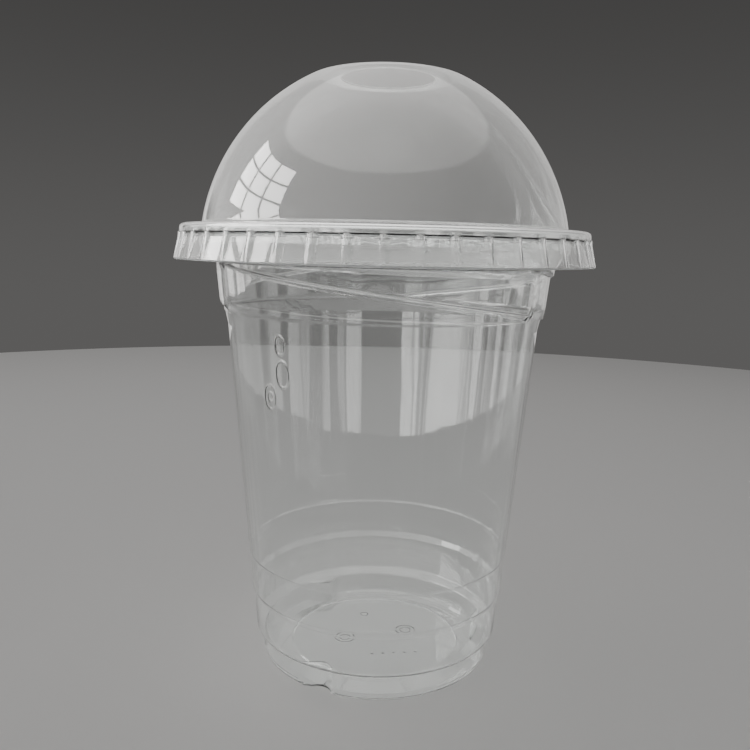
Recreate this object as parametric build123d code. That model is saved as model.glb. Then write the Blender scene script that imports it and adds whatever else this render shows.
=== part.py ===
from build123d import *
import os
from math import cos, hypot, radians, sin, sqrt

# Clear plastic cup with a dome lid that snaps over its rim. Millimetres, +Z up. The origin is on the
# cup's axis, in the plane that the foot ring stands on. Both pieces are formed from thin
# sheet, so each is an outer shape less the same shape drawn in by the sheet's thickness.

# --- Driving dimensions -----------------------------------------------------------------

# Cup, overall
cup_height = 109.5        # foot ring to the top of the rolled rim
rim_radius = 48.75        # outside of the rolled rim
cup_wall = 0.4            # sheet thickness after forming

# Cup, foot and floor (radii outwards from foot_radius)
foot_radius = 29.8        # outside of the foot ring where it stands
foot_height = 6.2         # straight wall of the foot
foot_draft = 0.3          # how far the foot draws in over its height
foot_round = 1.8          # rounded outer edge under the foot
foot_ring_width = 1.8     # flat that the cup stands on
ledge_width = 2.1         # ledge from the top of the foot out to the side wall
ledge_rise = 1.5
floor_panel_radius = 21.8
floor_panel_height = 1.5  # underside of the raised middle of the floor
floor_step = 0.4          # small step round the raised middle
notch_count = 3
notch_angle = 243.0       # direction of the first notch, from +X
notch_half_width = 6.6
notch_depth = 3.4

# Cup, side wall
collar_width = 0.5        # widening of the short wall between the ledge and the low step
low_step_height = 17.3    # start of the low step above the table
low_step_rise = 1.5
low_step_width = 0.7
crease_height = 28.0      # faint crease round the wall
crease_width = 0.15
crease_rise = 0.5

# Cup, shoulder, ramps and mouth (heights down from the rim, radii in from it)
mouth_drop = 8.3          # rim to the top of the ramp band
shoulder_rise = 3.2
shoulder_inset = 10.25    # rim radius to the wall just under the shoulder
shoulder_width = 0.7
ramp_count = 3            # falling ledges that keep nested cups apart
ramp_fall = 10.66         # fall of one ledge over its share of the turn
ramp_step = 0.8           # width of a ledge
ramp_tilt = 0.3           # rise of a ledge across its width
ramp_band_height = 11.7   # band of wall that the ledges run in
ramp_band_flare = 2.0     # widening of the band over its height
ramp_angle = -90.0        # direction where the first ledge is half way down, from +X
mouth_inset = 3.95        # rim radius to the inside of the mouth
flare_rise = 4.3          # height over which the wall opens to the mouth
mouth_turn = 1.5          # rounded inner edge of the rim
curl_radius = 1.15        # rolled outer edge of the rim
curl_sweep = 230.0        # degrees the edge is rolled through

# Lid
lid_wall = 0.4
dome_rise = 35.8          # flange to the flat crown
dome_inset = 4.25         # rim radius to the foot of the dome
dome_bulge = 47.5         # radius of the dome's section
dome_foot_round = 0.9
crown_radius = 17.2       # where the dome would meet the flat crown with a sharp edge
crown_round = 9.0
hole_radius = 11.25       # drinking hole through the crown
rim_top_gap = 0.05        # flange over the rim
rim_side_gap = 0.55       # plain band of the lid round the rim
snap_gap = 0.2            # snap bead past the rim, open enough to lift off
flange_round = 1.1
plain_band_height = 2.1
bead_height = 1.0         # snap bead, top to bottom
skirt_height = 8.2        # flange to the cut edge of the skirt
skirt_flare = 1.65        # widening from the foot of the bead to the cut edge
rib_count = 45
rib_radius = 1.1          # rounded section of a skirt rib
rib_proud = 0.15          # ribs stand out from the plain band
rib_length = 3.8
rib_lap = 0.3             # ribs reach up onto the plain band
rib_angle = -90.2         # direction of one rib, from +X

# --- Heights and radii that follow --------------------------------------------------------

ledge_radius = foot_radius - foot_draft + ledge_width
collar_radius = ledge_radius + collar_width
wall_foot_radius = collar_radius + low_step_width
wall_foot_height = low_step_height + low_step_rise
band_top = cup_height - mouth_drop
band_bottom = band_top - ramp_band_height
shoulder_height = band_bottom - shoulder_rise
shoulder_radius = rim_radius - shoulder_inset
band_radius = shoulder_radius + shoulder_width
mouth_radius = rim_radius - mouth_inset
mouth_height = cup_height - mouth_turn
flare_top = band_top + flare_rise

flange_height = cup_height + rim_top_gap + lid_wall
crown_height = flange_height + dome_rise
dome_radius = rim_radius - dome_inset
lid_radius = rim_radius + rim_side_gap + lid_wall
bead_radius = rim_radius + snap_gap + lid_wall
bead_top = flange_height - plain_band_height
bead_bottom = bead_top - bead_height
skirt_top_radius = bead_radius + 0.1
skirt_radius = skirt_top_radius + skirt_flare
skirt_bottom = flange_height - skirt_height


# --- Helpers ------------------------------------------------------------------------------

def wall_radius(height, base_height, base_radius, top_height, top_radius):
    """Radius of a straight tapered wall at a height."""
    share = (height - base_height) / (top_height - base_height)
    return base_radius + share * (top_radius - base_radius)


def drawn_in(points, thickness):
    """Move a run of points to its left by the sheet's thickness, corners mitred."""
    sides = []
    for (r0, z0), (r1, z1) in zip(points[:-1], points[1:]):
        length = hypot(r1 - r0, z1 - z0)
        sides.append((-(z1 - z0) / length, (r1 - r0) / length))
    moved = []
    for i, (r, z) in enumerate(points):
        before = sides[max(i - 1, 0)]
        after = sides[min(i, len(sides) - 1)]
        scale = thickness / (1 + before[0] * after[0] + before[1] * after[1])
        moved.append((r + scale * (before[0] + after[0]), z + scale * (before[1] + after[1])))
    return moved


def rounded(points, rounds):
    """Closed outline through the points, with some corners rounded: {index: radius}."""
    outline = make_face(Polyline(*points, close=True))
    for index, radius in rounds.items():
        corner = outline.vertices().sort_by_distance((*points[index], 0))[0]
        outline = fillet(corner, radius)
    return outline


def spun(outline):
    """Solid of revolution from an outline drawn as (radius, height)."""
    return revolve(Plane.XZ * outline, Axis.Z, 360)


def radial_plane(angle):
    """Plane through the axis, drawn as (radius, height), in the direction of an angle."""
    a = radians(angle)
    return Plane(origin=(0, 0, 0), x_dir=(cos(a), sin(a), 0), z_dir=(sin(a), -cos(a), 0))


# --- Cup ----------------------------------------------------------------------------------

def lower_run():
    """Outer surface from the middle of the floor up to the top of the shoulder."""
    low = (wall_foot_height, wall_foot_radius, shoulder_height, shoulder_radius)
    crease_foot = wall_radius(crease_height, *low)
    crease_top = wall_radius(crease_height + crease_rise, *low)
    ring_inner = foot_radius - foot_round - foot_ring_width
    return [
        (0, floor_panel_height),
        (floor_panel_radius, floor_panel_height),
        (floor_panel_radius + floor_step, floor_panel_height - floor_step),
        (ring_inner, 0),
        (foot_radius, 0),
        (foot_radius - foot_draft, foot_height),
        (ledge_radius, foot_height + ledge_rise),
        (collar_radius, low_step_height),
        (wall_foot_radius, wall_foot_height),
        (crease_foot - crease_width, crease_height),
        (crease_top, crease_height + crease_rise),
        (shoulder_radius, shoulder_height),
        (band_radius, band_bottom),
    ]


def lower_body(thickness):
    """Filled shape under the ramp band, drawn in by a thickness (0 for the outside)."""
    run = lower_run()
    if thickness:
        run = drawn_in(run, thickness)
        run[0] = (0, floor_panel_height + thickness)
        run[-1] = (band_radius - thickness, band_bottom + thickness)
    outer, inner = foot_round - thickness, 0.6 + thickness
    rounds = {4: outer, 5: 0.5 + thickness, 6: 0.9 - thickness, 7: 0.5 + thickness}
    rounds |= {8: 0.9 - thickness, 3: inner}
    return spun(rounded(run + [(0, run[-1][1])], rounds))


def ramp_band(thickness):
    """Filled band with the falling ledges, drawn in by a thickness (0 for the outside)."""
    bottom, top = band_bottom + thickness, band_top + thickness
    slope = ramp_band_flare / ramp_band_height

    def core_radius(height):
        return band_radius + slope * (height - bottom) - thickness

    core = spun(rounded([(0, bottom), (core_radius(bottom), bottom),
                         (core_radius(top), top), (0, top)], {}))
    fall_per_degree = ramp_fall * ramp_count / 360
    middle = (bottom + top) / 2
    reach = (ramp_band_height / 2 + ramp_fall) / fall_per_degree
    steps = 22
    slab = Pos(0, 0, (bottom + top) / 2) * Cylinder(2 * rim_radius, top - bottom)
    for k in range(ramp_count):
        sections = []
        for i in range(steps + 1):
            turn = -ramp_band_height / 2 / fall_per_degree - 4
            turn += i * (reach + 4 - turn - 4) / steps
            low = middle - turn * fall_per_degree
            high = low + ramp_fall + ramp_tilt
            tooth = Polyline(
                (core_radius(low) - 1, low - ramp_tilt),
                (core_radius(low) + ramp_step, low + ramp_tilt / 2),
                (core_radius(high) + 0.06, high),
                (core_radius(high) - 1, high),
                close=True)
            plane = radial_plane(ramp_angle + turn + k * 360 / ramp_count)
            sections.append(plane * make_face(tooth))
        core += loft(sections) & slab
    return core


def mouth_body(thickness):
    """Filled shape from the ramp band up to the start of the rim's inner turn."""
    bottom = band_top + thickness
    neck = band_radius + ramp_band_flare + ramp_step + 0.1
    outer_mouth = mouth_radius + cup_wall
    run = [(neck, band_top), (outer_mouth, flare_top), (outer_mouth, mouth_height)]
    start, corner, end = drawn_in(run, thickness)
    start = (wall_radius(bottom, start[1], start[0], corner[1], corner[0]), bottom)
    outline = [(0, bottom), start, corner, (end[0], mouth_height), (0, mouth_height)]
    return spun(rounded(outline, {2: 1.0 + thickness}))


def notches(thickness):
    """Prisms that press the notches into the foot ring, grown by a thickness."""
    solids = []
    half, depth = notch_half_width + thickness, notch_depth + thickness
    top = foot_height + thickness
    for k in range(notch_count):
        mouth = foot_radius + 0.02
        dip = Spline((mouth, -half), (mouth - depth, 0), (mouth, half),
                     tangents=[(0, 1), (0, 1), (0, 1)])
        back = Polyline((mouth, half), (mouth + 5, half), (mouth + 5, -half), (mouth, -half))
        prism = extrude(Pos(0, 0, -1) * make_face(dip.edges() + back.edges()), top + 1)
        solids.append(Rot(0, 0, notch_angle + k * 360 / notch_count) * prism)
    return solids


def rolled_rim():
    """Sheet of the mouth turned outwards over the top and rolled under at its edge."""
    t = cup_wall
    turn_x, top = mouth_radius + mouth_turn, cup_height
    curl_x, curl_z = rim_radius - curl_radius, cup_height - curl_radius
    inner_curl = curl_radius - t
    edges = [
        Line((mouth_radius, mouth_height), (mouth_radius + t, mouth_height)),
        CenterArc((turn_x, mouth_height), mouth_turn - t, 180, -90),
        Line((turn_x, top - t), (curl_x, top - t)),
        CenterArc((curl_x, curl_z), inner_curl, 90, -curl_sweep),
        Line((curl_x, curl_z) + Vector(inner_curl, 0).rotate(Axis.Z, 90 - curl_sweep),
             (curl_x, curl_z) + Vector(curl_radius, 0).rotate(Axis.Z, 90 - curl_sweep)),
        CenterArc((curl_x, curl_z), curl_radius, 90, -curl_sweep),
        Line((curl_x, top), (turn_x, top)),
        CenterArc((turn_x, mouth_height), mouth_turn, 180, -90),
    ]
    return spun(make_face(edges))


def make_cup():
    outside = lower_body(0) + ramp_band(0) + mouth_body(0)
    inside = lower_body(cup_wall) + ramp_band(cup_wall) + mouth_body(cup_wall)
    outside -= notches(0)
    inside -= notches(cup_wall)
    return outside - inside + rolled_rim()


# --- Lid ----------------------------------------------------------------------------------

join_radius = (dome_radius + lid_radius) / 2


def dome_shell():
    """Crown with its hole, dome and the inner half of the flange."""
    foot = Vector(dome_radius, flange_height)
    edge = Vector(crown_radius, crown_height)
    half_chord = (edge - foot) * 0.5
    outward = Vector(half_chord.Y, -half_chord.X).normalized()
    to_chord = sqrt(dome_bulge ** 2 - half_chord.length ** 2)
    centre = foot + half_chord - outward * to_chord
    middle = centre + outward * dome_bulge
    inner = dome_bulge - lid_wall

    def on_inner(height):
        return centre.X + sqrt(inner ** 2 - (height - centre.Y) ** 2)

    low, high = flange_height - lid_wall, crown_height - lid_wall
    inner_mid = centre + outward * inner
    edges = [
        Line((hole_radius, crown_height), (crown_radius, crown_height)),
        ThreePointArc(edge, middle, foot),
        Line(foot, (join_radius, flange_height)),
        Line((join_radius, flange_height), (join_radius, low)),
        Line((join_radius, low), (on_inner(low), low)),
        ThreePointArc((on_inner(low), low), inner_mid, (on_inner(high), high)),
        Line((on_inner(high), high), (hole_radius, high)),
        Line((hole_radius, high), (hole_radius, crown_height)),
    ]
    section = make_face(edges)
    corners = [
        ((dome_radius, flange_height), dome_foot_round),
        ((on_inner(low), low), dome_foot_round + lid_wall),
        ((crown_radius, crown_height), crown_round),
        ((on_inner(high), high), crown_round - lid_wall),
    ]
    for point, radius in corners:
        section = fillet(section.vertices().sort_by_distance((*point, 0))[0], radius)
    return spun(section)


def skirt_body(thickness):
    """Filled shape under the flange with its band, bead, flared skirt and ribs."""
    top = flange_height - thickness
    overrun = 1 if thickness else 0
    flare = skirt_flare / (bead_bottom - skirt_bottom)
    outline = [
        (0, top),
        (lid_radius - thickness, top),
        (lid_radius - thickness, bead_top),
        (bead_radius - thickness, (bead_top + bead_bottom) / 2),
        (skirt_top_radius - thickness, bead_bottom),
        (skirt_radius + flare * overrun - thickness, skirt_bottom - overrun),
        (0, skirt_bottom - overrun),
    ]
    body = spun(rounded(outline, {1: flange_round - thickness}))
    rib_middle = lid_radius + rib_proud - rib_radius
    rib_top = bead_top + (0.05 if thickness else rib_lap)
    rib = Pos(rib_middle, 0, rib_top - rib_length / 2)
    rib *= Cylinder(rib_radius - thickness, rib_length)
    return body + [Rot(0, 0, rib_angle + i * 360 / rib_count) * rib for i in range(rib_count)]


def make_lid():
    skirt = skirt_body(0) - skirt_body(lid_wall)
    skirt -= Pos(0, 0, flange_height) * Cylinder(join_radius, 4 * lid_wall)
    return dome_shell() + skirt


# --- Output -------------------------------------------------------------------------------

os.makedirs("parts", exist_ok=True)
for name, shape in {"cup": make_cup(), "dome_lid": make_lid()}.items():
    solids = shape.solids()
    print(name, len(solids), "solid(s), volume", round(sum(s.volume for s in solids), 1),
          "mm3, box", shape.bounding_box())
    export_step(solids[0] if len(solids) == 1 else shape, f"parts/{name}.step")
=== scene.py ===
# %% [markdown]
# # A clear plastic cup with a dome lid
# Two pieces of thin clear sheet: a cup with a rolled rim, and a dome lid that snaps over that
# rim. Both are formed from flat sheet over a mould, so every wall has an outside and an inside
# that run side by side, a fraction of a millimetre apart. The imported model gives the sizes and
# says which piece moves; this script gives both pieces their fine shape, their clear plastic
# and the light to see it by.

# %% Load the frame
import bmesh
import bpy
import math
import numpy as np
from mathutils import Matrix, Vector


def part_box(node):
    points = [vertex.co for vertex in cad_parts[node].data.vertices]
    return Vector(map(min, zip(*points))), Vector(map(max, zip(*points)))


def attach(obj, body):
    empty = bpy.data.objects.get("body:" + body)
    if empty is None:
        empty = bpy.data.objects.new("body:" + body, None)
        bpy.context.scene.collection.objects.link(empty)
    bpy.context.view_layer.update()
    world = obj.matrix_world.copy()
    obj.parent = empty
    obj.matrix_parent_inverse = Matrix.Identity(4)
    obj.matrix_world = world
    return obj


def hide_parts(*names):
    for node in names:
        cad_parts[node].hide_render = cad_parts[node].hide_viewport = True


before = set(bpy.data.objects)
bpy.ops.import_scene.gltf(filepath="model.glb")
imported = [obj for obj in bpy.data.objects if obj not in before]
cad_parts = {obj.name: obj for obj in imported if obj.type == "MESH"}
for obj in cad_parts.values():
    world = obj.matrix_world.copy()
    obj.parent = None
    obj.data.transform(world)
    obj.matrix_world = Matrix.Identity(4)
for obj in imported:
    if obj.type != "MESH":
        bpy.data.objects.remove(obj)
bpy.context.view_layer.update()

# %% [markdown]
# ## Sizes
# The big sizes are read from the frame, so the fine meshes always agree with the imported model.
# The smaller ones, such as the foot and the steps in the wall, follow the model's values and are
# given once here in millimetres. Two are drawn a touch differently, because light shows them:
# the wall is thinner than the model's one even sheet, and the ribs stand a little prouder.

# %% Sizes
MM = 0.001
cup_high = np.array(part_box("cup")[1])
lid_low, lid_high = (np.array(corner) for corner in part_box("dome_lid"))

rim_radius = cup_high[0]
cup_height = cup_high[2]
crown_height = lid_high[2]
skirt_radius = lid_high[0]
skirt_bottom = lid_low[2]

sheet = 0.4 * MM            # thickness at the rim, the floor and the lid
thin_sheet = 0.3 * MM       # the wall is drawn thinner

foot_radius = 29.8 * MM
foot_height = 6.2 * MM
foot_draft = 0.3 * MM
foot_round = 1.8 * MM
foot_ring_width = 1.8 * MM
ledge_width = 2.1 * MM
ledge_rise = 1.5 * MM
floor_panel_radius = 21.8 * MM
floor_panel_height = 1.5 * MM
floor_step = 0.4 * MM
notch_count = 3
notch_angle = math.radians(243.0)
notch_half_width = 6.6 * MM
notch_depth = 3.4 * MM

collar_width = 0.5 * MM
low_step_height = 17.3 * MM
low_step_rise = 1.5 * MM
low_step_width = 0.7 * MM
crease_height = 28.0 * MM
crease_width = 0.15 * MM
crease_rise = 0.5 * MM

shoulder_drop = 23.2 * MM
shoulder_rise = 3.2 * MM
shoulder_inset = 10.25 * MM
shoulder_width = 0.7 * MM
ramp_count = 3
ramp_fall = 10.66 * MM
ramp_step = 0.8 * MM
ramp_band_height = 11.7 * MM
ramp_band_flare = 2.0 * MM
ramp_angle = math.radians(-90.0)
mouth_inset = 3.95 * MM
flare_rise = 4.3 * MM
mouth_turn = 1.5 * MM
curl_radius = 1.15 * MM
curl_sweep = math.radians(230.0)

dome_inset = 4.25 * MM
dome_bulge = 47.5 * MM
dome_foot_round = 0.9 * MM
crown_radius = 17.2 * MM
crown_round = 9.0 * MM
hole_radius = 11.25 * MM
rim_top_gap = 0.05 * MM
rim_side_gap = 0.55 * MM
snap_gap = 0.2 * MM
flange_round = 1.1 * MM
plain_band_height = 2.1 * MM
bead_height = 1.0 * MM
rib_count = 45
rib_radius = 1.1 * MM
rib_proud = 0.4 * MM
rib_lap = 0.3 * MM
rib_lean = 0.22             # a rib leans out by this share of its height, less than the skirt
rib_angle = math.radians(-90.2)

flange_height = cup_height + rim_top_gap + sheet
dome_radius = rim_radius - dome_inset
lid_radius = rim_radius + rim_side_gap + sheet
bead_radius = rim_radius + snap_gap + sheet
print("cup", cup_height, "m high; lid crown at", crown_height, "m; rim radius", rim_radius)

# %% [markdown]
# ## Drawing a section
# A formed sheet is easiest to describe by its section: a run of corners (distance from the
# axis, height), each with its own rounding. Each corner becomes a tangent arc. Each straight
# gets a vertex close to both its ends, so that smooth shading turns only at the roundings, and a
# long one is divided. The inside of the sheet is the same run moved sideways by its thickness.

# %% Section helpers
def arc(centre, radius, start, end, points):
    """Points on a circle from one angle to another, ends included."""
    turns = np.linspace(start, end, points)
    return [np.array(centre) + radius * np.array([math.cos(t), math.sin(t)]) for t in turns]


def rounded_run(corners, points=4):
    """A run of (distance, height, rounding) corners as points, with a tangent arc at each."""
    run = [np.array(corners[0][:2])]
    for before, corner, after in zip(corners[:-2], corners[1:-1], corners[2:]):
        place, rounding = np.array(corner[:2]), corner[2]
        to_before = np.array(before[:2]) - place
        to_after = np.array(after[:2]) - place
        to_before /= np.linalg.norm(to_before)
        to_after /= np.linalg.norm(to_after)
        half = math.acos(np.clip(to_before @ to_after, -1, 1)) / 2
        if rounding == 0 or half > 1.55:
            run.append(place)
            continue
        bisector = (to_before + to_after) / np.linalg.norm(to_before + to_after)
        centre = place + bisector * rounding / math.sin(half)
        reach = rounding / math.tan(half)
        start = place + to_before * reach - centre
        end = place + to_after * reach - centre
        first = math.atan2(start[1], start[0])
        turn = math.atan2(start[0] * end[1] - start[1] * end[0], start @ end)
        run += arc(centre, rounding, first, first + turn, points)
    run.append(np.array(corners[-1][:2]))
    return run


def supported(run, longest=12 * MM, margin=0.12 * MM):
    """The run with a point close to both ends of each straight, and more along the longest."""
    out = [run[0]]
    for start, end in zip(run[:-1], run[1:]):
        length = np.linalg.norm(end - start)
        if length > 5 * margin:
            shares = np.linspace(margin / length, 1 - margin / length,
                                 1 + math.ceil(length / longest))
            out += [start + (end - start) * share for share in shares]
        out.append(end)
    return np.array(out)


def cut_edge(start, end, ahead):
    """Points of the rounded cut edge between the two faces of a sheet."""
    middle, across = (start + end) / 2, (start - end) / 2
    ahead = np.array(ahead) * np.linalg.norm(across)
    turns = np.linspace(0, math.pi, 6)[1:-1]
    return np.array([middle + across * math.cos(t) + ahead * math.sin(t) for t in turns])


def sideways(run):
    """Unit vectors square to the run, to its left, one for each point."""
    steps = np.diff(run, axis=0)
    steps /= np.linalg.norm(steps, axis=1)[:, None]
    left = np.stack([-steps[:, 1], steps[:, 0]], axis=1)
    square = np.vstack([left[:1], left[:-1] + left[1:], left[-1:]])
    square /= np.linalg.norm(square, axis=1)[:, None]
    lean = np.concatenate([[1], np.einsum("ij,ij->i", square[1:-1], left[1:]), [1]])
    return square / np.maximum(lean, 0.5)[:, None]


print("section helpers ready")

# %% [markdown]
# ## Turning a section into a sheet
# `ring_mesh` takes a grid of points, one row for each point of the section and one column for
# each direction round the axis, and joins them with quads. A row on the axis becomes a single
# vertex. The columns close on themselves, and for the lid, whose sheet has a hole in it, the
# rows do too.

# %% Ring mesh
def ring_mesh(name, rows, close_rows=False):
    """A closed mesh from an array of rows x columns x 3."""
    count, columns = rows.shape[:2]
    first = []
    places = []
    for row in rows:
        first.append(len(places))
        on_axis = np.abs(row[:, :2]).max() < 1e-9
        places += [row[0]] if on_axis else list(row)
    size = np.diff(first + [len(places)])

    def corner(i, j):
        return int(first[i] + (j % columns if size[i] > 1 else 0))

    faces = []
    for i in range(count if close_rows else count - 1):
        above = (i + 1) % count
        for j in range(columns):
            face = [corner(i, j), corner(i, j + 1), corner(above, j + 1), corner(above, j)]
            faces.append(list(dict.fromkeys(face)))
    mesh = bpy.data.meshes.new(name)
    mesh.from_pydata([tuple(p) for p in places], [], faces)
    mesh.polygons.foreach_set("use_smooth", [True] * len(faces))
    made = bmesh.new()
    made.from_mesh(mesh)
    if made.calc_volume(signed=True) < 0:
        bmesh.ops.reverse_faces(made, faces=made.faces)
        made.to_mesh(mesh)
    print(name, len(mesh.polygons), "faces, sheet volume", round(made.calc_volume() / MM**3), "mm3")
    made.free()
    piece = bpy.data.objects.new(name, mesh)
    bpy.context.scene.collection.objects.link(piece)
    return piece


def round_the_axis(radii, heights, directions):
    """Rows x columns of points from radii and heights (each rows x columns or one per row)."""
    radii = np.broadcast_to(radii.reshape(len(radii), -1), (len(radii), directions.shape[-1]))
    heights = np.broadcast_to(heights.reshape(len(heights), -1), radii.shape)
    return np.stack([radii * np.cos(directions), radii * np.sin(directions), heights], axis=2)


print("ring mesh ready")

# %% [markdown]
# ## The cup's section
# From the middle of the floor outwards and up: the raised panel, the cone down to the ring that
# the cup stands on, the foot, the ledge over it, the short collar, the low step, the faint
# crease and the long tapered wall up to the shoulder.

# %% The cup below the ramps
ledge_radius = foot_radius - foot_draft + ledge_width
collar_radius = ledge_radius + collar_width
wall_foot = (collar_radius + low_step_width, low_step_height + low_step_rise)
shoulder = (rim_radius - shoulder_inset, cup_height - shoulder_drop)
band_bottom = shoulder[1] + shoulder_rise
band_radius = shoulder[0] + shoulder_width
band_top = band_bottom + ramp_band_height
ring_inner = foot_radius - foot_round - foot_ring_width


def wall_radius(height):
    """Radius of the long tapered wall."""
    share = (height - wall_foot[1]) / (shoulder[1] - wall_foot[1])
    return wall_foot[0] + share * (shoulder[0] - wall_foot[0])


lower_corners = [
    (0, floor_panel_height, 0),
    (floor_panel_radius, floor_panel_height, 0.5 * MM),
    (floor_panel_radius + floor_step, floor_panel_height - floor_step, 0.6 * MM),
    (ring_inner, 0, 0.9 * MM),
    (foot_radius, 0, foot_round),
    (foot_radius - foot_draft, foot_height, 0.6 * MM),
    (ledge_radius, foot_height + ledge_rise, 0.9 * MM),
    (collar_radius, low_step_height, 0.6 * MM),
    (*wall_foot, 0.9 * MM),
    (wall_radius(crease_height) - crease_width, crease_height, 0.6 * MM),
    (wall_radius(crease_height + crease_rise), crease_height + crease_rise, 0.6 * MM),
    (*shoulder, 0.9 * MM),
    (band_radius, band_bottom, 0),
]
lower_run = supported(rounded_run(lower_corners))
print("lower run", len(lower_run), "points")

# %% [markdown]
# ## The ramps
# Just under the rim three narrow ledges fall round the wall, each a third of a turn after the
# last. They keep nested cups from jamming. Between one ledge and the next the wall leans out
# less than the band as a whole, so the section is a saw tooth that slides down as it goes
# round. The rows of the mesh slide with it, which keeps each ledge crisp; where a ledge has
# run out at the bottom, the rows climb back to meet the next one at the top.

# %% Ramp rows
ledge_rows = np.array([-0.95, -0.55, -0.4, -0.2, 0, 0.2, 0.4, 0.55, 0.95]) * MM
ledge_height = 0.95 * MM
climb = 0.06                # share of a third of a turn in which the rows climb back


def ramp_height(directions):
    """Height of the falling ledge, and how far round its third of a turn it is (0 to 1)."""
    share = (directions - ramp_angle) * ramp_count / (2 * math.pi)
    middle = (band_bottom + band_top) / 2
    round_it = (share + 0.5) % 1.0
    return middle + (0.5 - round_it) * ramp_fall, round_it


def band_wall(heights, directions):
    """Radius of the band at each height and direction, saw tooth included."""
    slope = ramp_band_flare / ramp_band_height
    above = heights - ramp_height(directions)[0]
    above = np.where(above < -ledge_height / 2, above + ramp_fall, above)
    above = np.where(above > ramp_fall - ledge_height / 2, above - ramp_fall, above)
    rise = np.clip(above / ledge_height + 0.5, 0, 1)
    tooth = np.where(above < ledge_height / 2, rise * rise * (3 - 2 * rise), 1)
    tooth = tooth * (1 - np.clip(above, 0, ramp_fall) / ramp_fall)
    return band_radius + slope * (heights - band_bottom) + ramp_step * tooth


def band_heights(directions):
    """Heights of the band's rows in each direction."""
    ledge, round_it = ramp_height(directions)
    back = np.clip((round_it - 1 + climb) / climb, 0, 1)
    ledge = ledge + back * back * (3 - 2 * back) * ramp_fall
    low, high = band_bottom + 0.05 * MM, band_top - 0.05 * MM
    ledge = np.clip(ledge, low + 1.2 * MM, high - 1.2 * MM)
    start, end = ledge + ledge_rows[0], ledge + ledge_rows[-1]
    below = [low + (start - low) * k / 4 for k in range(4)]
    over = [end + (high - end) * k / 4 for k in range(1, 5)]
    return np.array(below + [ledge + offset for offset in ledge_rows] + over)


print("ledge falls", round(ramp_fall / MM, 2), "mm in each third of a turn")

# %% [markdown]
# ## The rim
# Above the ramps the wall opens to the mouth, turns outwards over the top and rolls under at
# its edge. The rolled edge makes the rim stiff and gives the lid something to snap over.

# %% The cup above the ramps
mouth_radius = rim_radius - mouth_inset + sheet
neck_radius = band_radius + ramp_band_flare + ramp_step + 0.1 * MM
under_rim = cup_height - sheet
curl_centre = (rim_radius - curl_radius, cup_height - curl_radius)
upper_corners = [
    (neck_radius, band_top, 0),
    (mouth_radius, band_top + flare_rise, 1.0 * MM),
    (mouth_radius, under_rim, mouth_turn - sheet),
    (curl_centre[0], under_rim, 0),
]
upper_run = rounded_run(upper_corners, 6)[:-1]
upper_run += arc(curl_centre, curl_radius - sheet, math.pi / 2, math.pi / 2 - curl_sweep, 14)
upper_run = supported(upper_run)
print("upper run", len(upper_run), "points")

# %% [markdown]
# ## The notched foot
# Three hollows are pressed into the foot ring, so that a vacuum doesn't hold the cup to a wet
# table. In plan each one is a smooth dip. Below the ledge, nothing may stand further out than
# the dip does.

# %% Foot notches
def notch_limit(directions):
    """How far from the axis the foot may reach in each direction."""
    turn = 2 * math.pi / notch_count
    off = (directions - notch_angle + turn / 2) % turn - turn / 2
    across = np.clip(np.abs(off) * foot_radius / notch_half_width, 0, 1)
    dip = 0.5 + 0.5 * np.cos(math.pi * across)
    return np.where(across < 1, foot_radius - notch_depth * dip, foot_radius + 1 * MM)


def press_notches(rows, directions, inward):
    """Draws the foot in where a notch is. inward is the sheet thickness for the inside."""
    radii = np.hypot(rows[..., 0], rows[..., 1])
    limit = notch_limit(directions)[None, :] - inward
    top = foot_height + inward
    share = np.clip((top + 0.15 * MM - rows[..., 2]) / (0.3 * MM), 0, 1)
    drawn = radii - share * np.maximum(radii - limit, 0)
    scale = np.where(radii > 0, drawn / np.maximum(radii, 1e-9), 1)
    rows[..., :2] *= scale[..., None]


print("notch depth", notch_depth, "m")

# %% [markdown]
# ## The sheet's waviness
# Formed sheet is never optically flat. Where it was drawn down the mould it keeps faint upright
# lines, and it cools with a long, low ripple. Both are only hundredths of a millimetre high,
# but they are what makes the mirrored light on a clear wall break into streaks. Each vertex
# moves in or out along its radius by a sum of fixed waves.

# %% Waviness
chance = np.random.default_rng(7)


def wave_set(counts, height):
    """Waves round the axis: how many times round, phase, twist up the wall, and height."""
    return [(count, chance.uniform(0, 2 * math.pi), chance.uniform(-12, 12),
             height * chance.uniform(0.4, 1.0)) for count in counts]


draw_lines = wave_set([23, 31, 38, 47, 53, 61, 74, 83, 97], 0.007 * MM)
ripple = wave_set([3, 5, 7, 9, 11, 14], 0.016 * MM)


def wavy(rows, directions, waves, low, high):
    """Moves the rows between two heights in and out by the waves, fading at both ends."""
    heights = rows[..., 2]
    fade = np.clip((heights - low) / (4 * MM), 0, 1) * np.clip((high - heights) / (4 * MM), 0, 1)
    offset = sum(height * np.cos(count * directions + phase + twist * heights / 0.1)
                 for count, phase, twist, height in waves)
    radii = np.maximum(np.hypot(rows[..., 0], rows[..., 1]), 1e-9)
    rows[..., :2] *= (1 + fade * offset / radii)[..., None]


print(len(draw_lines), "draw lines and", len(ripple), "ripples")

# %% Build the cup
cup_columns = 384
cup_turns = np.arange(cup_columns) * 2 * math.pi / cup_columns
band_rows = band_heights(cup_turns)
band_radii = band_wall(band_rows, cup_turns)

lower_thick = np.interp(lower_run[:, 1], [2 * MM, 9 * MM], [sheet, thin_sheet])
upper_thick = np.interp(upper_run[:, 1], [band_top, cup_height - 3 * MM], [thin_sheet, sheet])
lower_in = lower_run + sideways(lower_run) * lower_thick[:, None]
lower_in[0, 0] = 0
upper_in = upper_run + sideways(upper_run) * upper_thick[:, None]

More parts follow.
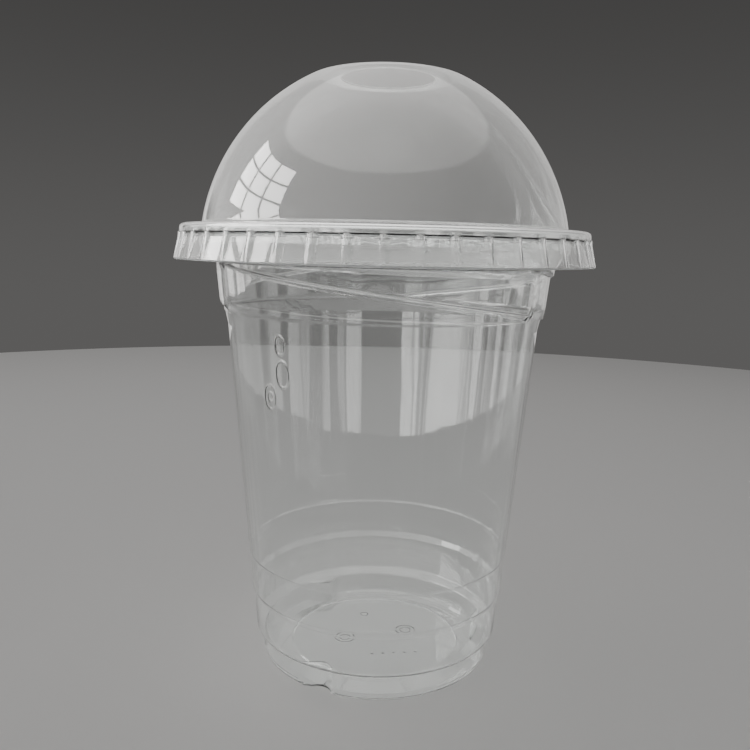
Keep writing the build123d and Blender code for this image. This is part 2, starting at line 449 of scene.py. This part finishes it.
outside = np.concatenate([
    round_the_axis(lower_run[:, 0], lower_run[:, 1], cup_turns),
    round_the_axis(band_radii, band_rows, cup_turns),
    round_the_axis(upper_run[:, 0], upper_run[:, 1], cup_turns)])
inside = np.concatenate([
    round_the_axis(lower_in[:, 0], lower_in[:, 1], cup_turns),
    round_the_axis(band_radii - thin_sheet, band_rows + thin_sheet, cup_turns),
    round_the_axis(upper_in[:, 0], upper_in[:, 1], cup_turns)])
press_notches(outside, cup_turns, 0)
press_notches(inside, cup_turns, sheet)
for faces in (outside, inside):
    wavy(faces, cup_turns, draw_lines, low_step_height, cup_height - 6 * MM)
    wavy(faces, cup_turns, ripple, low_step_height, cup_height - 6 * MM)
rolled_edge = cut_edge(upper_run[-1], upper_in[-1], (-math.cos(curl_sweep), -math.sin(curl_sweep)))
edge_rows = round_the_axis(rolled_edge[:, 0], rolled_edge[:, 1], cup_turns)
cup = ring_mesh("cup_sheet", np.concatenate([outside, edge_rows, inside[::-1]]))

# %% [markdown]
# ## The lid's section
# The lid's outside runs from the edge of the drinking hole across the flat crown, round a soft
# shoulder into the dome, down to the flange that sits on the rim, over its edge, in under the
# rim's roll at the snap bead, and out along the flared skirt. The dome is one long curve, so it
# has even points and no straights to support.

# %% The dome outline
def circle_through(start, end, radius):
    """Centre of the circle of a radius through two points, on the side of the axis."""
    start, end = np.array(start), np.array(end)
    half = (end - start) / 2
    away = np.array([half[1], -half[0]]) / np.linalg.norm(half)
    centre = start + half + away * math.sqrt(radius**2 - half @ half)
    other = start + half - away * math.sqrt(radius**2 - half @ half)
    return min(centre, other, key=lambda place: place[0])


def heading(centre, place):
    """Angle from a centre to a place."""
    return math.atan2(place[1] - centre[1], place[0] - centre[0])


dome_centre = circle_through((dome_radius, flange_height), (crown_radius, crown_height), dome_bulge)
blend_height = crown_height - crown_round
blend_reach = math.sqrt((dome_bulge - crown_round) ** 2 - (blend_height - dome_centre[1]) ** 2)
blend_centre = (dome_centre[0] + blend_reach, blend_height)
foot_centre_height = flange_height + dome_foot_round
foot_reach = (dome_bulge + dome_foot_round) ** 2 - (foot_centre_height - dome_centre[1]) ** 2
foot_centre = (dome_centre[0] + math.sqrt(foot_reach), foot_centre_height)
dome_start, dome_end = heading(dome_centre, blend_centre), heading(dome_centre, foot_centre)

crown = np.array([[hole_radius + sheet / 2, crown_height], [blend_centre[0], crown_height]])
dome_run = list(supported(crown))
dome_run += arc(blend_centre, crown_round, math.pi / 2, dome_start, 9)[1:]
dome_run += arc(dome_centre, dome_bulge, dome_start, dome_end, 30)[1:]
dome_run += arc(foot_centre, dome_foot_round, dome_end + math.pi, 1.5 * math.pi, 6)[1:]
print("dome centre", dome_centre, "points", len(dome_run))

# %% The skirt outline
bead_top = flange_height - plain_band_height
bead_bottom = bead_top - bead_height
skirt_top_radius = bead_radius + 0.1 * MM
skirt_corners = [
    (dome_run[-1][0], flange_height, 0),
    (lid_radius, flange_height, flange_round),
    (lid_radius, bead_top, 0.3 * MM),
    (bead_radius, (bead_top + bead_bottom) / 2, 0.3 * MM),
    (skirt_top_radius, bead_bottom, 0.5 * MM),
    (skirt_radius, skirt_bottom + sheet / 2, 0),
]
lid_run = np.concatenate([dome_run[:-1], supported(rounded_run(skirt_corners))])
lid_in = lid_run - sideways(lid_run) * sheet
skirt_edge = cut_edge(lid_run[-1], lid_in[-1], (0, -1))
hole_edge = cut_edge(lid_in[0], lid_run[0], (-1, 0))
lid_loop = np.concatenate([lid_run, skirt_edge, lid_in[::-1], hole_edge])
print("lid run", len(lid_run), "points, all round", len(lid_loop))

# %% [markdown]
# ## The lid's ribs
# Forty-five rounded ribs stand round the skirt and bridge the groove under the plain band.
# They all follow one rule, so a Geometry Nodes tree presses them: each vertex of the plain lid
# finds the nearest rib and is pushed out to that rib's rounded face. The same tree takes other
# counts and sizes through its named inputs.

# %% Node helpers
def group_input(tree, name, kind, value):
    """A named input of a node tree, with its value."""
    socket = tree.interface.new_socket(name=name, in_out="INPUT", socket_type=kind)
    if value is not None:
        socket.default_value = value
    return socket


def sum_of(tree, operation, *values):
    """A Math node on numbers or sockets; returns its result."""
    node = tree.nodes.new("ShaderNodeMath")
    node.operation = operation
    for socket, value in zip(node.inputs, values):
        if isinstance(value, (int, float)):
            socket.default_value = value
        else:
            tree.links.new(value, socket)
    return node.outputs[0]


print("node helpers ready")

# %% The rib tree
def rib_tree():
    """Geometry Nodes that press ribs into the skirt of a plain lid."""
    tree = bpy.data.node_groups.new("skirt_ribs", "GeometryNodeTree")
    group_input(tree, "Lid", "NodeSocketGeometry", None)
    group_input(tree, "Count", "NodeSocketInt", rib_count)
    group_input(tree, "First angle", "NodeSocketFloat", rib_angle)
    group_input(tree, "Rib radius", "NodeSocketFloat", rib_radius)
    group_input(tree, "Rib middle", "NodeSocketFloat", lid_radius + rib_proud - rib_radius)
    group_input(tree, "Lean", "NodeSocketFloat", rib_lean)
    group_input(tree, "Lean from", "NodeSocketFloat", bead_bottom)
    group_input(tree, "Top", "NodeSocketFloat", bead_top + rib_lap)
    group_input(tree, "Sheet", "NodeSocketFloat", sheet)
    group_input(tree, "Material", "NodeSocketMaterial", None)
    tree.interface.new_socket(name="Lid", in_out="OUTPUT", socket_type="NodeSocketGeometry")
    nodes, links = tree.nodes, tree.links
    given = nodes.new("NodeGroupInput").outputs
    result = nodes.new("NodeGroupOutput")

    place = nodes.new("GeometryNodeInputPosition")
    parts = nodes.new("ShaderNodeSeparateXYZ")
    links.new(place.outputs[0], parts.inputs[0])
    x, y, z = parts.outputs
    radius = sum_of(tree, "SQRT", sum_of(tree, "ADD", sum_of(tree, "MULTIPLY", x, x),
                                         sum_of(tree, "MULTIPLY", y, y)))
    direction = sum_of(tree, "SUBTRACT", sum_of(tree, "ARCTAN2", y, x), given["First angle"])
    pitch = sum_of(tree, "DIVIDE", 2 * math.pi, given["Count"])
    share = sum_of(tree, "DIVIDE", direction, pitch)
    off = sum_of(tree, "SUBTRACT", share, sum_of(tree, "ROUND", share))
    across = sum_of(tree, "MULTIPLY", sum_of(tree, "MULTIPLY", off, pitch), radius)

    within = nodes.new("GeometryNodeInputNamedAttribute")
    within.data_type = "FLOAT"
    within.inputs["Name"].default_value = "inside"
    thinner = sum_of(tree, "MULTIPLY", within.outputs[0], given["Sheet"])
    reach = sum_of(tree, "SUBTRACT", given["Rib radius"], thinner)
    square = sum_of(tree, "SUBTRACT", sum_of(tree, "MULTIPLY", reach, reach),
                    sum_of(tree, "MULTIPLY", across, across))
    bulge = sum_of(tree, "SQRT", sum_of(tree, "MAXIMUM", square, 0.0))
    down = sum_of(tree, "MAXIMUM", sum_of(tree, "SUBTRACT", given["Lean from"], z), 0.0)
    lean = sum_of(tree, "MULTIPLY", down, given["Lean"])
    face = sum_of(tree, "ADD", sum_of(tree, "ADD", given["Rib middle"], lean), bulge)
    pushed = sum_of(tree, "SMOOTH_MAX", radius, face, 0.08 * MM)
    below = sum_of(tree, "SUBTRACT", given["Top"], z)
    ease = sum_of(tree, "MINIMUM", sum_of(tree, "MAXIMUM",
                  sum_of(tree, "DIVIDE", below, 0.3 * MM), 0.0), 1.0)
    on_rib = sum_of(tree, "GREATER_THAN", square, 0.0)
    gain = sum_of(tree, "MULTIPLY", sum_of(tree, "SUBTRACT", pushed, radius), ease)
    gain = sum_of(tree, "DIVIDE", sum_of(tree, "MULTIPLY", gain, on_rib), radius)
    push = nodes.new("ShaderNodeCombineXYZ")
    links.new(sum_of(tree, "MULTIPLY", x, gain), push.inputs[0])
    links.new(sum_of(tree, "MULTIPLY", y, gain), push.inputs[1])

    move = nodes.new("GeometryNodeSetPosition")
    links.new(given["Lid"], move.inputs["Geometry"])
    links.new(push.outputs[0], move.inputs["Offset"])
    realize = nodes.new("GeometryNodeRealizeInstances")
    links.new(move.outputs[0], realize.inputs[0])
    paint = nodes.new("GeometryNodeSetMaterial")
    links.new(realize.outputs[0], paint.inputs["Geometry"])
    links.new(given["Material"], paint.inputs["Material"])
    links.new(paint.outputs[0], result.inputs[0])
    return tree


skirt_ribs = rib_tree()
print("rib tree has", len(skirt_ribs.nodes), "nodes")

# %% [markdown]
# ## Clear plastic
# The sheet is clear, so its look is all in how it bends and mirrors light. Handling leaves a
# film of fine scuffs that blurs its shine a little in patches, and where the sheet is a little
# thicker its faint tint is deeper. Three small groups give the scuffs, the tint and the raised
# rings and dots that are moulded into the floor and the wall. The lid's cut edges get a whiter,
# rougher plastic of their own, a painted highlight for the bright line of light along them.

# %% Surface groups
def vector_input(tree, nodes, scale):
    """Object coordinates scaled along each axis."""
    place = nodes.new("ShaderNodeTexCoord")
    stretch = nodes.new("ShaderNodeMapping")
    stretch.inputs["Scale"].default_value = scale
    tree.links.new(place.outputs["Object"], stretch.inputs["Vector"])
    return stretch.outputs[0]


def noise(tree, nodes, vector, scale, detail=2.0, rough=0.5):
    """A noise texture's value on a vector."""
    made = nodes.new("ShaderNodeTexNoise")
    made.inputs["Scale"].default_value = scale
    made.inputs["Detail"].default_value = detail
    made.inputs["Roughness"].default_value = rough
    tree.links.new(vector, made.inputs["Vector"])
    return made.outputs["Fac"]


def tint_group():
    """Faint tint of the sheet, a little deeper where it is thicker."""
    tree = bpy.data.node_groups.new("sheet_tint", "ShaderNodeTree")
    group_input(tree, "Thin", "NodeSocketColor", (0.985, 0.992, 0.99, 1))
    group_input(tree, "Thick", "NodeSocketColor", (0.955, 0.972, 0.968, 1))
    tree.interface.new_socket(name="Color", in_out="OUTPUT", socket_type="NodeSocketColor")
    nodes = tree.nodes
    given = nodes.new("NodeGroupInput").outputs
    result = nodes.new("NodeGroupOutput")
    cloud = noise(tree, nodes, vector_input(tree, nodes, (1, 1, 0.5)), 40, 2.0)
    blend = nodes.new("ShaderNodeMix")
    blend.data_type = "RGBA"
    tree.links.new(cloud, blend.inputs["Factor"])
    tree.links.new(given["Thin"], blend.inputs["A"])
    tree.links.new(given["Thick"], blend.inputs["B"])
    tree.links.new(blend.outputs["Result"], result.inputs[0])
    return tree


def ring_group():
    """Height of one raised ring: 1 along its line, 0 away from it. A radius of 0 is a dot.
    On an upright wall the ring is an oval, taller than it is wide."""
    tree = bpy.data.node_groups.new("raised_ring", "ShaderNodeTree")
    group_input(tree, "Centre", "NodeSocketVector", (0, 0, 0))
    group_input(tree, "Radius", "NodeSocketFloat", 0.002)
    group_input(tree, "Line", "NodeSocketFloat", 0.00035)
    tree.interface.new_socket(name="Height", in_out="OUTPUT", socket_type="NodeSocketFloat")
    nodes = tree.nodes
    given = nodes.new("NodeGroupInput").outputs
    result = nodes.new("NodeGroupOutput")
    offset, squeeze, apart = [nodes.new("ShaderNodeVectorMath") for _ in range(3)]
    offset.operation, squeeze.operation, apart.operation = "SUBTRACT", "MULTIPLY", "LENGTH"
    tree.links.new(vector_input(tree, nodes, (1, 1, 1)), offset.inputs[0])
    tree.links.new(given["Centre"], offset.inputs[1])
    tree.links.new(offset.outputs[0], squeeze.inputs[0])
    squeeze.inputs[1].default_value = (1, 1, 0.6)
    tree.links.new(squeeze.outputs[0], apart.inputs[0])
    off_line = sum_of(tree, "ABSOLUTE",
                      sum_of(tree, "SUBTRACT", apart.outputs["Value"], given["Radius"]))
    share = sum_of(tree, "DIVIDE", off_line, given["Line"])
    ease = nodes.new("ShaderNodeMapRange")
    ease.interpolation_type = "SMOOTHSTEP"
    ease.inputs["From Min"].default_value = 1.0
    ease.inputs["From Max"].default_value = 0.0
    tree.links.new(share, ease.inputs["Value"])
    tree.links.new(ease.outputs["Result"], result.inputs[0])
    return tree


def scuff_group():
    """Roughness of the sheet: glossy, with faint smears and fine scuffs."""
    tree = bpy.data.node_groups.new("sheet_scuffs", "ShaderNodeTree")
    group_input(tree, "Polish", "NodeSocketFloat", 0.02)
    group_input(tree, "Haze", "NodeSocketFloat", 0.08)
    tree.interface.new_socket(name="Roughness", in_out="OUTPUT", socket_type="NodeSocketFloat")
    nodes = tree.nodes
    given = nodes.new("NodeGroupInput").outputs
    result = nodes.new("NodeGroupOutput")
    smears = noise(tree, nodes, vector_input(tree, nodes, (1, 1, 1)), 35, 4.0, 0.6)
    fine = noise(tree, nodes, vector_input(tree, nodes, (1, 1, 1)), 900, 2.0)
    patch = sum_of(tree, "MULTIPLY", sum_of(tree, "MAXIMUM",
                   sum_of(tree, "SUBTRACT", smears, 0.5), 0.0), 2.0)
    haze = sum_of(tree, "MULTIPLY", sum_of(tree, "MULTIPLY", patch, fine), given["Haze"])
    tree.links.new(sum_of(tree, "ADD", given["Polish"], haze), result.inputs[0])
    return tree


tint = tint_group()
raised_ring = ring_group()
scuffs = scuff_group()
print("surface groups ready")

# %% The plastic
def clear_plastic(name, rings):
    """Clear formed sheet. Lamps shine through it, as they do through a thin wall."""
    plastic = bpy.data.materials.new(name)
    plastic.use_nodes = True
    tree = plastic.node_tree
    nodes, links = tree.nodes, tree.links
    nodes.clear()
    surface = nodes.new("ShaderNodeBsdfPrincipled")
    surface.inputs["Transmission Weight"].default_value = 1.0
    surface.inputs["IOR"].default_value = 1.57
    shade = nodes.new("ShaderNodeGroup")
    shade.node_tree = tint
    links.new(shade.outputs["Color"], surface.inputs["Base Color"])
    scuff = nodes.new("ShaderNodeGroup")
    scuff.node_tree = scuffs
    links.new(scuff.outputs["Roughness"], surface.inputs["Roughness"])
    relief = 0.0
    for centre, radius, line in rings:
        ring = nodes.new("ShaderNodeGroup")
        ring.node_tree = raised_ring
        ring.inputs["Centre"].default_value = centre
        ring.inputs["Radius"].default_value = radius
        ring.inputs["Line"].default_value = line
        relief = sum_of(tree, "MAXIMUM", ring.outputs["Height"], relief)
    if rings:
        bump = nodes.new("ShaderNodeBump")
        bump.inputs["Distance"].default_value = 0.07 * MM
        links.new(relief, bump.inputs["Height"])
        links.new(bump.outputs["Normal"], surface.inputs["Normal"])
    clear = nodes.new("ShaderNodeBsdfTransparent")
    clear.inputs["Color"].default_value = (0.95, 0.955, 0.955, 1)
    path = nodes.new("ShaderNodeLightPath")
    mix = nodes.new("ShaderNodeMixShader")
    links.new(path.outputs["Is Shadow Ray"], mix.inputs["Fac"])
    links.new(surface.outputs["BSDF"], mix.inputs[1])
    links.new(clear.outputs["BSDF"], mix.inputs[2])
    out = nodes.new("ShaderNodeOutputMaterial")
    links.new(mix.outputs["Shader"], out.inputs["Surface"])
    return plastic


def painted_highlight_plastic(name):
    """The cut edge of the sheet, whiter and rougher than the rest: a painted highlight for the
    bright line of light along it.
    """
    plastic = bpy.data.materials.new(name)
    plastic.use_nodes = True
    tree = plastic.node_tree
    surface = tree.nodes["Principled BSDF"]
    surface.inputs["Transmission Weight"].default_value = 0.3
    surface.inputs["IOR"].default_value = 1.57
    # Near-white tint on the cut edges: a painted highlight, not the sheet's own colour.
    shade = tree.nodes.new("ShaderNodeGroup")
    shade.node_tree = tint
    shade.inputs["Thin"].default_value = (0.95, 0.96, 0.96, 1)
    shade.inputs["Thick"].default_value = (0.82, 0.84, 0.84, 1)
    tree.links.new(shade.outputs["Color"], surface.inputs["Base Color"])
    scuff = tree.nodes.new("ShaderNodeGroup")
    scuff.node_tree = scuffs
    scuff.inputs["Polish"].default_value = 0.4
    scuff.inputs["Haze"].default_value = 0.3
    tree.links.new(scuff.outputs["Roughness"], surface.inputs["Roughness"])
    return plastic


def on_wall(turn, height):
    """A place on the cup's wall, from a direction in degrees and a height."""
    turn, radius = math.radians(turn), wall_radius(height)
    return (radius * math.cos(turn), radius * math.sin(turn), height)


def on_floor(x, y):
    """A place on the raised panel in the cup's floor, from millimetres."""
    return (x * MM, y * MM, floor_panel_height)


fine, bold = 0.3 * MM, 0.7 * MM
marks = [(on_floor(-3.2, 11.3), 1.0 * MM, fine)]
marks += [(on_floor(-8.0, -2.2), radius * MM, fine) for radius in (1.4, 2.6)]
marks += [(on_floor(8.3, 2.6), radius * MM, fine) for radius in (1.4, 2.6)]
marks += [(on_floor(-0.6 + 2.8 * k, -10.7 + 0.4 * k), 0.0, bold) for k in range(5)]
marks += [(on_wall(234.8, 84.0 * MM), 1.3 * MM, fine), (on_wall(235.4, 77.6 * MM), 1.8 * MM, fine)]
marks += [(on_wall(229.0, 72.0 * MM), radius * MM, fine) for radius in (0.7, 1.7)]
cup_plastic = clear_plastic("cup_clear_plastic", marks)
lid_plastic = clear_plastic("lid_clear_plastic", [])
# The lid's cut edges get whitened plastic, a painted highlight along them.
edge_highlight_plastic = painted_highlight_plastic("lid_edge_painted_highlight")
cup.data.materials.append(cup_plastic)
print("materials", cup_plastic.name, lid_plastic.name, edge_highlight_plastic.name)

# %% [markdown]
# ## Building the lid
# The columns of the mesh are even on the dome, where they keep the mirrored room smooth. On the
# skirt they gather at the ribs, which need them. They shift from one to the other across the
# flat flange.

# %% Build the lid
lid_columns = rib_count * 12
even = np.arange(lid_columns) * 2 * math.pi / lid_columns
beside_rib = np.array([0, 0.3, 0.6, 0.8, 1.0, 1.35]) * MM / lid_radius
half_pitch = np.array([math.pi / rib_count])
one_rib = np.concatenate([beside_rib, half_pitch, 2 * half_pitch - beside_rib[:0:-1]])
at_ribs = (one_rib + 2 * half_pitch * np.arange(rib_count)[:, None]).ravel()
flange_share = (lid_loop[:, 0] - dome_radius) / (lid_radius - flange_round - dome_radius)
gather = np.clip(flange_share, 0, 1)[:, None]
lid_turns = rib_angle + even + gather * (at_ribs - even)
lid_rows = round_the_axis(lid_loop[:, 0], lid_loop[:, 1], lid_turns)
wavy(lid_rows, lid_turns, ripple, flange_height, crown_height - 2 * MM)
lid = ring_mesh("dome_lid_sheet", lid_rows, close_rows=True)
inside_rows = np.concatenate([np.zeros(len(lid_run)), [0.2, 0.4, 0.6, 0.8],
                              np.ones(len(lid_in)), [0.8, 0.6, 0.4, 0.2]])
side = lid.data.attributes.new("inside", "FLOAT", "POINT")
side.data.foreach_set("value", np.repeat(inside_rows, lid_columns))

press = lid.modifiers.new("ribs", "NODES")
press.node_group = skirt_ribs
for item in skirt_ribs.interface.items_tree:
    if item.in_out == "INPUT" and item.name == "Material":
        press[item.identifier] = lid_plastic
pressed = bpy.data.meshes.new_from_object(lid.evaluated_get(bpy.context.evaluated_depsgraph_get()))
lid.modifiers.remove(press)
pressed.attributes.remove(pressed.attributes["inside"])
# The cut edges and the rows beside them take the whitened plastic, a painted highlight.
pressed.materials.append(edge_highlight_plastic)
painted_edge_rows = (inside_rows > 0) & (inside_rows < 1)
painted_edge_rows = np.any([np.roll(painted_edge_rows, shift) for shift in (-2, -1, 0, 1)], axis=0)
pressed.polygons.foreach_set("material_index", np.repeat(painted_edge_rows, lid_columns).astype(np.int32))
lid.data = pressed
print("lid", len(lid.data.polygons), "faces after the ribs")

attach(cup, "cup")
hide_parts("cup")
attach(lid, "lid")
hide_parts("dome_lid")
print("pieces ride on cup and lid")

# %% [markdown]
# ## Floor, light and camera
# A plain pale table stands in a soft grey room. One large lamp overhead lights the table.
# Clear plastic shows only what it bends and mirrors, so the rest of the light is a room for it
# to mirror: a bright ceiling, plain walls with uneven soft panels low down, and a window on the
# left. What is seen straight, or through the plastic, is a plain grey backdrop.

# %% The table and its lamp
table_mesh = bpy.data.meshes.new("table")
disc = bmesh.new()
bmesh.ops.create_circle(disc, cap_ends=True, segments=128, radius=0.62)
disc.to_mesh(table_mesh)
disc.free()
table = bpy.data.objects.new("table", table_mesh)
bpy.context.scene.collection.objects.link(table)
paint = bpy.data.materials.new("table_paint")
paint.use_nodes = True
coat = paint.node_tree.nodes["Principled BSDF"]
coat.inputs["Base Color"].default_value = (0.66, 0.65, 0.64, 1)
coat.inputs["Roughness"].default_value = 0.9
coat.inputs["Specular IOR Level"].default_value = 0.0
table_mesh.materials.append(paint)

lamp = bpy.data.lights.new("overhead_lamp", "AREA")
lamp.size = 0.9
lamp.energy = 5.8
overhead = bpy.data.objects.new("overhead_lamp", lamp)
overhead.location = (-0.15, 0.05, 1.0)
overhead.visible_camera = False
overhead.visible_glossy = False
overhead.visible_transmission = False
bpy.context.scene.collection.objects.link(overhead)
print("table and lamp ready")

# %% The room
panel_light, panel_gap_light, wall_light, ceiling_light, window_light = 4.2, 0.6, 2.0, 1.0, 12.0
panel_low, panel_high = math.radians(5), math.radians(14)
ceiling_low, ceiling_high = math.radians(46), math.radians(49)
window_turn, window_rise = math.radians(-92), math.radians(28)
window_half_width, window_half_height, pane_half = 0.42, 0.21, 0.44
backdrop_low, backdrop_drop = 0.11, 0.05

room = bpy.data.worlds.new("room")
room.use_nodes = True
tree = room.node_tree
nodes, links = tree.nodes, tree.links
nodes.clear()


def step_at(value, low, high):
    """0 below low, 1 above high, a smooth step between."""
    ease = nodes.new("ShaderNodeMapRange")
    ease.interpolation_type = "SMOOTHSTEP"
    ease.inputs["From Min"].default_value = low
    ease.inputs["From Max"].default_value = high
    links.new(value, ease.inputs["Value"])
    return ease.outputs["Result"]


direction = nodes.new("ShaderNodeSeparateXYZ")
links.new(nodes.new("ShaderNodeTexCoord").outputs["Generated"], direction.inputs[0])
to_right, to_back, up = direction.outputs
facing = sum_of(tree, "ARCTAN2", to_right, sum_of(tree, "MULTIPLY", to_back, -1.0))
height = sum_of(tree, "ARCSINE", up)

round_it = nodes.new("ShaderNodeCombineXYZ")
links.new(sum_of(tree, "SINE", facing), round_it.inputs[0])
links.new(sum_of(tree, "COSINE", facing), round_it.inputs[1])
streaks = noise(tree, nodes, round_it.outputs[0], 3.2, 3.0, 0.65)
gap = step_at(sum_of(tree, "ABSOLUTE", sum_of(tree, "ADD", facing, 0.03)), 0.16, 0.26)
panels = sum_of(tree, "MULTIPLY", step_at(streaks, 0.43, 0.57), gap)
panels = sum_of(tree, "ADD", sum_of(tree, "MULTIPLY", panels, panel_light),
                panel_gap_light)
behind = sum_of(tree, "SUBTRACT", 0.8, sum_of(tree, "MULTIPLY", to_back, 0.3))
panels = sum_of(tree, "MULTIPLY", panels, behind)
wall_share = step_at(height, panel_low, panel_high)
low_wall = sum_of(tree, "MULTIPLY", panels, sum_of(tree, "SUBTRACT", 1.0, wall_share))
wall = sum_of(tree, "ADD", low_wall, sum_of(tree, "MULTIPLY", wall_share, wall_light))
ceiling = sum_of(tree, "MULTIPLY", step_at(height, ceiling_low, ceiling_high), ceiling_light)
side_light = sum_of(tree, "SUBTRACT", 1.0, sum_of(tree, "MULTIPLY", to_right, 0.42))
far_end = sum_of(tree, "MULTIPLY", step_at(to_back, 0.1, 0.9), 0.55)
side_light = sum_of(tree, "MULTIPLY", side_light, sum_of(tree, "SUBTRACT", 1.0, far_end))
plain = sum_of(tree, "MULTIPLY", sum_of(tree, "ADD", wall, ceiling), side_light)

across = sum_of(tree, "SUBTRACT", facing, window_turn)
rise = sum_of(tree, "SUBTRACT", height, window_rise)


def panes(offset, half_width, count):
    """1 on the panes of a window between two edges, 0 on its bars and outside it."""
    place = sum_of(tree, "MULTIPLY", sum_of(tree, "ADD", offset, half_width),
                   count / (2 * half_width))
    off_middle = sum_of(tree, "ABSOLUTE",
                        sum_of(tree, "SUBTRACT", sum_of(tree, "FRACT", place), 0.5))
    within = sum_of(tree, "LESS_THAN", sum_of(tree, "ABSOLUTE", offset), half_width)
    return sum_of(tree, "MULTIPLY", sum_of(tree, "LESS_THAN", off_middle, pane_half), within)


window = sum_of(tree, "MULTIPLY", panes(across, window_half_width, 3),
                panes(rise, window_half_height, 3))
mirrored = sum_of(tree, "ADD", plain, sum_of(tree, "MULTIPLY", window, window_light))

backdrop = sum_of(tree, "SUBTRACT", backdrop_low,
                  sum_of(tree, "MULTIPLY", step_at(height, -0.1, 0.35), backdrop_drop))
path = nodes.new("ShaderNodeLightPath")
is_mirrored = sum_of(tree, "GREATER_THAN", path.outputs["Glossy Depth"], 0.5)
is_mirrored = sum_of(tree, "MULTIPLY", is_mirrored,
                     sum_of(tree, "SUBTRACT", 1.0, path.outputs["Is Diffuse Ray"]))
strength = nodes.new("ShaderNodeMix")
links.new(is_mirrored, strength.inputs["Factor"])
links.new(backdrop, strength.inputs["A"])
links.new(mirrored, strength.inputs["B"])
light = nodes.new("ShaderNodeBackground")
light.inputs["Color"].default_value = (1.0, 0.98, 0.96, 1)
links.new(strength.outputs["Result"], light.inputs["Strength"])
result = nodes.new("ShaderNodeOutputWorld")
links.new(light.outputs[0], result.inputs[0])
bpy.context.scene.world = room
print("room has", len(nodes), "nodes")

# %% The camera
camera_data = bpy.data.cameras.new("camera")
camera = bpy.data.objects.new("camera", camera_data)
bpy.context.scene.collection.objects.link(camera)
camera_data.sensor_width = 36.0
camera_data.lens = 37.33
camera_data.clip_start = 0.01
pitch, roll, yaw = math.radians(9.45), math.radians(1.36), math.radians(-0.47)
aim = Matrix.Rotation(-yaw, 3, "Z") @ Matrix.Rotation(math.pi / 2 - pitch, 3, "X")
aim = aim @ Matrix.Rotation(roll, 3, "Z")
camera.matrix_world = Matrix.Translation((0, -0.1968, 0.10572)) @ aim.to_4x4()
bpy.context.scene.camera = camera
bpy.context.scene.cycles.max_bounces = 24
bpy.context.scene.cycles.transmission_bounces = 24
bpy.context.scene.cycles.transparent_max_bounces = 24
print("camera at", tuple(camera.location))
